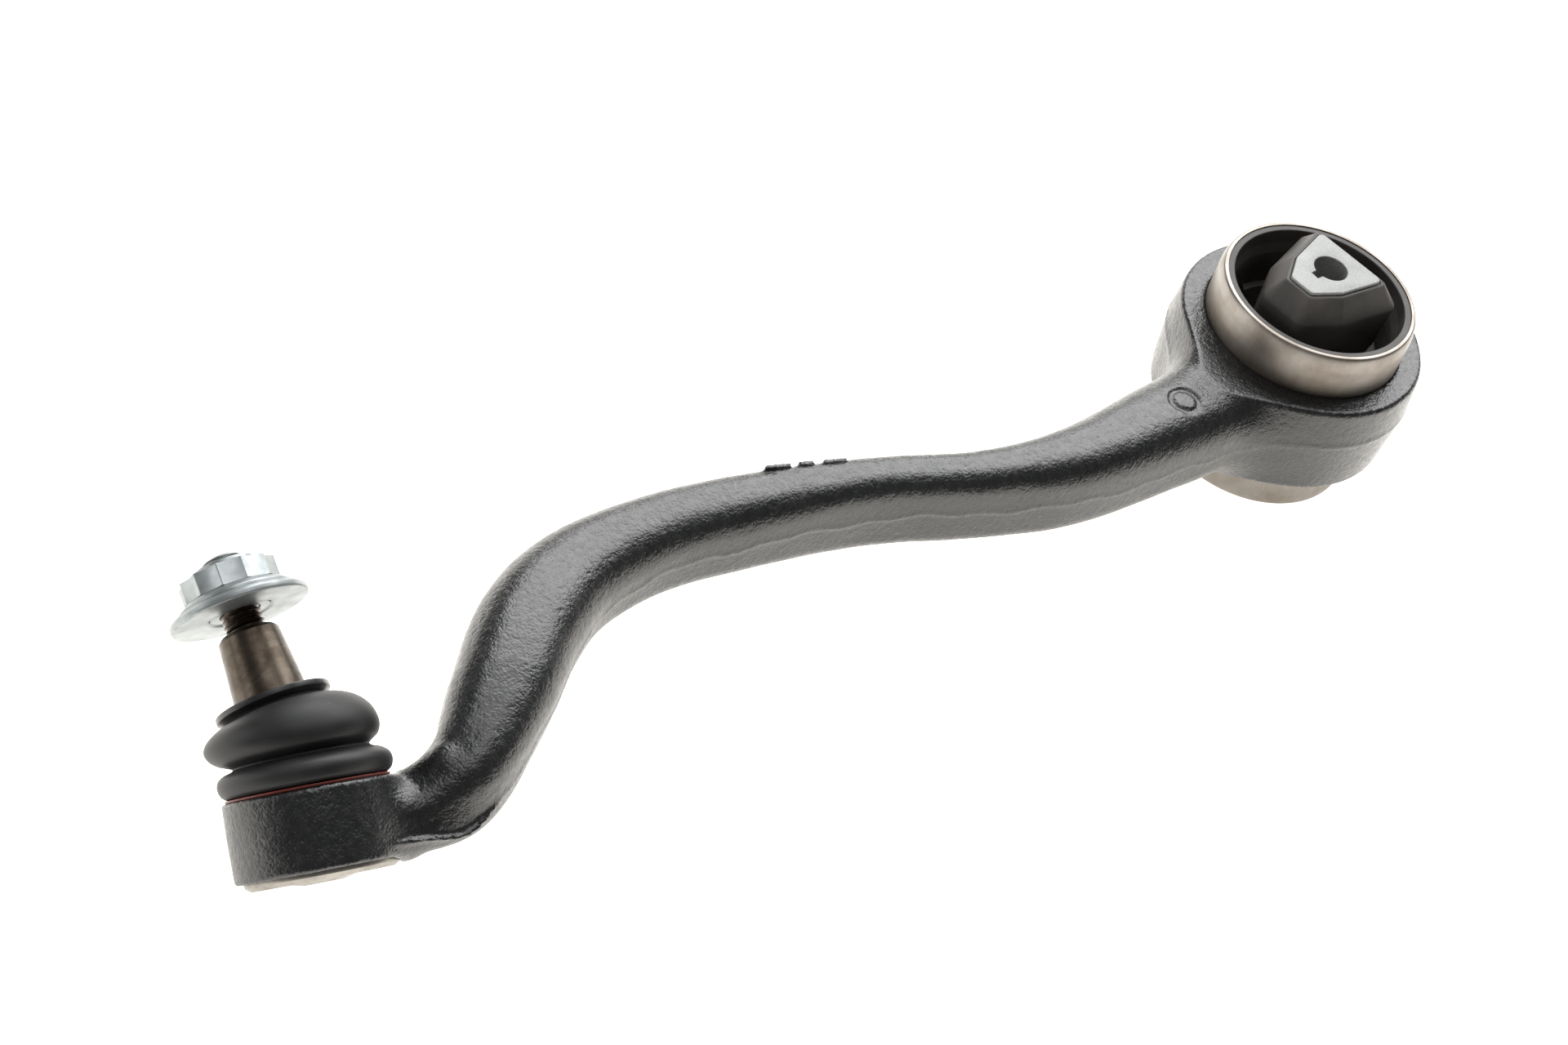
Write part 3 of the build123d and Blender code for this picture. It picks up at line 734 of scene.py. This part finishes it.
def buildWasher():
    w = washer
    top = w["base"] + w["thickness"]
    outline = (
        (w["bore"], w["base"] + w["lead"]), (w["bore"] + w["lead"], w["base"]), (w["radius"], w["base"], 0.7),
        (w["radius"], top - w["rimDrop"], 0.4), (w["radius"] - w["rimStep"], top, 0.5), (w["bore"], top),
    )
    meshPiece("washer", *turned(rounded(outline, 0.3), ball, studAxis, 200), "washer", "washer")


buildWasher()


edges = {"weld": 0.00001, "flat": 1.5, "bevelAngle": 35, "sharp": 28, "segments": 3}


def bevelled(name, node, body, width):
    # the frame's own shape with its edges broken
    source = bpy.data.objects.new(name, frame["nodes"][node].data.copy())
    bpy.context.scene.collection.objects.link(source)
    weld = source.modifiers.new("weld", "WELD")
    weld.merge_threshold = edges["weld"]
    flat = source.modifiers.new("flat", "DECIMATE")
    flat.decimate_type = "DISSOLVE"
    flat.angle_limit = math.radians(edges["flat"])
    bevel = source.modifiers.new("bevel", "BEVEL")
    bevel.width = width
    bevel.segments = edges["segments"]
    bevel.limit_method = "ANGLE"
    bevel.angle_limit = math.radians(edges["bevelAngle"])
    bevel.use_clamp_overlap = True
    shape = bpy.data.meshes.new_from_object(source.evaluated_get(bpy.context.evaluated_depsgraph_get()))
    bpy.data.objects.remove(source)
    piece = makePiece(name, shape, node)
    shape.set_sharp_from_angle(angle=math.radians(edges["sharp"]))
    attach(piece, body)


bevelled("flangeNut", "nut", "nut", 0.00035)
bevelled("innerCore", "inner_core", "core", 0.0004)

core = {
    "corners": ((12.6, 14.4), (-6.5, 10.6), (-17.2, 4.8), (-17.2, -4.8), (-6.5, -10.6), (12.6, -14.4)),
    "turn": 5.4,
    # height, rubber around the core, corner radius
    "levels": (
        (-35.5, 0.35, 1.8), (-35.5, 1.2, 2.0), (-35.1, 1.7, 2.2), (-29.0, 6.4, 4.0), (-27.8, 6.9, 4.6),
        (-18.0, 6.6, 5.0), (-9.0, 4.6, 5.0), (0.0, 3.9, 5.0), (9.0, 4.6, 5.0), (20.0, 6.2, 5.0),
        (33.0, 6.6, 5.0), (36.2, 6.7, 4.6), (37.6, 6.3, 4.0), (44.9, 1.7, 2.2), (45.4, 1.2, 2.0),
        (45.4, 0.5, 1.8), (44.6, 0.15, 1.8), (44.6, 0.02, 1.8),
    ),
    "perCorner": 9,
}


def coreRing(margin, radius):
    corners = [np.array(corner, float) for corner in core["corners"]]
    ring = []
    for i, corner in enumerate(corners):
        u, v = corners[i - 1] - corner, corners[(i + 1) % len(corners)] - corner
        u, v = u / np.linalg.norm(u), v / np.linalg.norm(v)
        half = math.acos(float(u @ v)) / 2
        middle = (u + v) / np.linalg.norm(u + v)
        tip = corner - middle * margin / math.sin(half)
        centre = tip + middle * radius / math.sin(half)
        start = math.atan2(*(tip + u * radius / math.tan(half) - centre)[::-1])
        end = math.atan2(*(tip + v * radius / math.tan(half) - centre)[::-1])
        sweep = (end - start + math.pi) % (2 * math.pi) - math.pi
        for k in range(core["perCorner"]):
            angle = start + sweep * k / (core["perCorner"] - 1)
            ring.append(centre + radius * np.array((math.cos(angle), math.sin(angle))))
    turn = math.radians(core["turn"])
    ring = np.array(ring)
    return np.stack([ring[:, 0] * math.cos(turn) - ring[:, 1] * math.sin(turn),
                     ring[:, 0] * math.sin(turn) + ring[:, 1] * math.cos(turn)], -1)


def buildBlock():
    rings = []
    for height, margin, radius in core["levels"]:
        ring = coreRing(margin, radius)
        rings.append(np.column_stack([ring, np.full(len(ring), height)]))
    around = len(rings[0])
    piece = meshPiece("coreBlock", np.vstack(rings) * mm, ringFaces(len(rings), around), "core", "core_block")
    piece.data.set_sharp_from_angle(angle=math.radians(50))


buildBlock()


# ---- sleeve and lining

sleeve = {"radius": 36.25, "bore": 33.75, "half": 36.5, "rimRadius": 34.8, "roll": 5.5}
lining = {
    "around": 180,
    # inner outline of the upper half, from the lip down: radius, height, corner radius
    "upper": ((33.75, 36.1, 0.2), (31.35, 36.1, 0.5), (31.3, 34.7, 0.8), (31.0, 31.0, 2.0), (29.7, 27.0, 2.0),
              (29.6, 23.5, 0.5), (29.85, 22.0, 0.0)),
}
upright = Vector((0, 0, 1))


def buildSleeve():
    s = sleeve
    arc = []
    for k in range(9):
        w = math.pi / 2 * k / 8
        arc.append((s["rimRadius"] + (s["radius"] - s["rimRadius"]) * math.cos(w),
                    s["half"] - s["roll"] * (1 - math.sin(w)), 0))
    outline = [(s["bore"], -s["half"], 0.2)] + [(r, -h, 0) for r, h, c in arc[::-1]]
    outline += arc + [(s["bore"], s["half"], 0.2)]
    meshPiece("bushSleeve", *turned(rounded(outline, 0.2), (0, 0, 0), upright, 240), "arm", "bush_sleeve")


buildSleeve()


def buildLining():
    upper = lining["upper"]
    outline = upper + tuple((r, -h, c) for r, h, c in upper[::-1])
    points, faces = turned(rounded(outline, 0.4), (0, 0, 0), upright, lining["around"])
    meshPiece("bushLining", points, faces, "arm", "bush_lining")


buildLining()


# ---- rubber webs: each is two pieces, an inner half against the core and an outer half out to the sleeve

web = {"angles": (150.0, 330.0), "width": 29.0, "height": 29.0, "outer": 29.7, "waist": 0.10, "corner": 3.0,
       "blockMargin": 4.6, "blockCorner": 5.0, "rings": 8, "bite": 0.3}


def buildWebs():
    w = web
    half = w["width"] / 2, w["height"] / 2
    signs = (-1, -1), (1, -1), (1, 1), (-1, 1)
    section = rounded([(a * half[0], b * half[1]) for a, b in signs], w["corner"], 5)
    section = np.vstack([section[:-1] * (1 - k) + section[1:] * k for k in (0.0, 0.5)])
    section = section[np.argsort(np.arctan2(section[:, 1], section[:, 0]))]
    ring = coreRing(w["blockMargin"], w["blockCorner"])
    for number, angle in enumerate(w["angles"]):
        ahead = np.array((math.cos(math.radians(angle)), math.sin(math.radians(angle))))
        across = np.array((-ahead[1], ahead[0]))
        facing = ring[ring @ ahead > 0]
        order = np.argsort(facing @ across)
        inner = np.interp(section[:, 0], (facing @ across)[order], (facing @ ahead)[order]) - w["bite"]
        outer = np.sqrt(w["outer"]**2 - section[:, 0]**2)
        halves = ("inner", 0.0, 0.5, "core", "spring"), ("outer", 0.5, 1.0, "spring", "arm")
        for label, start, end, innerBody, outerBody in halves:
            points = []
            for share in np.linspace(start, end, w["rings"]):
                thin = 1 - w["waist"] * math.sin(math.pi * share)
                reach = inner + (outer - inner) * share
                flat = reach[:, None] * ahead + (section[:, :1] * thin) * across
                points.append(np.column_stack([flat, section[:, 1] * thin]))
            around = len(section)
            faces = tubeFaces(w["rings"], around)
            faces += [list(range(around)), list(range((w["rings"] - 1) * around, w["rings"] * around))[::-1]]
            mesh = makeMesh(label + "Web", np.vstack(points) * mm, faces)
            piece = makePiece(f"{label}Web{number}", mesh, "rubber_spring")
            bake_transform(piece)


buildWebs()


# ---- floor, light and camera

ground = {
    "reach": 6.0, "gap": 0.0002, "dark": (0.90, 0.875, 0.835), "pale": (0.93, 0.91, 0.875), "rough": 0.75,
    "glow": (1.0, 0.965, 0.90), "glowStrength": 1.3,
}


def buildStage():
    g = ground
    reach = g["reach"]
    floor = bpy.data.meshes.new("floor")
    floor.from_pydata([(-reach, -reach, 0), (reach, -reach, 0), (reach, reach, 0), (-reach, reach, 0)], [],
                      [(0, 1, 2, 3)])
    stand = bpy.data.objects.new("floor", floor)
    stand.location = (0, 0, cadBox[0][2] - g["gap"])
    bpy.context.scene.collection.objects.link(stand)
    f = Finish("paleFloor")
    f.set(Base_Color=f.mix(f.noise(900, 2.0), g["dark"], g["pale"]), Roughness=g["rough"])
    f.set(Emission_Color=g["glow"], Emission_Strength=g["glowStrength"])
    floor.materials.append(f.material)


lights = {
    # a bright wall behind the part, a weaker one above and a low one; the camera's side stays dark
    "target": (-0.2, 0, 0), "world": 0.16,
    # place, size, power
    "lamps": {
        "wallBehind": ((0.95, 0.85, 1.25), (2.3, 1.7), 66),
        "softAbove": ((-0.35, 0.25, 2.4), (1.5, 1.5), 17),
        "lowLeft": ((-1.6, 0.9, 0.5), (0.9, 0.6), 5),
    },
}


def areaLight(name, where, size, power):
    data = bpy.data.lights.new(name, "AREA")
    data.shape = "RECTANGLE"
    data.size, data.size_y = size
    data.energy = power
    lamp = bpy.data.objects.new(name, data)
    lamp.location = where
    lamp.rotation_euler = (Vector(lights["target"]) - Vector(where)).to_track_quat("-Z", "Y").to_euler()
    bpy.context.scene.collection.objects.link(lamp)


def buildLight():
    for name, values in lights["lamps"].items():
        areaLight(name, *values)
    world = bpy.data.worlds.new("studio")
    world.use_nodes = True
    background = world.node_tree.nodes["Background"]
    background.inputs["Color"].default_value = (1, 1, 1, 1)
    background.inputs["Strength"].default_value = lights["world"]
    bpy.context.scene.world = world


view = {"place": (-0.7341, -0.3776, 0.6417), "turn": (43.83, -13.35, -38.67), "lens": 65.6, "sensor": 36.0}


def buildCamera():
    data = bpy.data.cameras.new("camera")
    data.lens = view["lens"]
    data.sensor_width = view["sensor"]
    camera = bpy.data.objects.new("camera", data)
    camera.location = view["place"]
    camera.rotation_euler = Euler([math.radians(angle) for angle in view["turn"]])
    bpy.context.scene.collection.objects.link(camera)
    bpy.context.scene.camera = camera


buildStage()
buildLight()
buildCamera()
bpy.context.scene.view_settings.view_transform = "Standard"
print("stage")

bpy.context.view_layer.update()
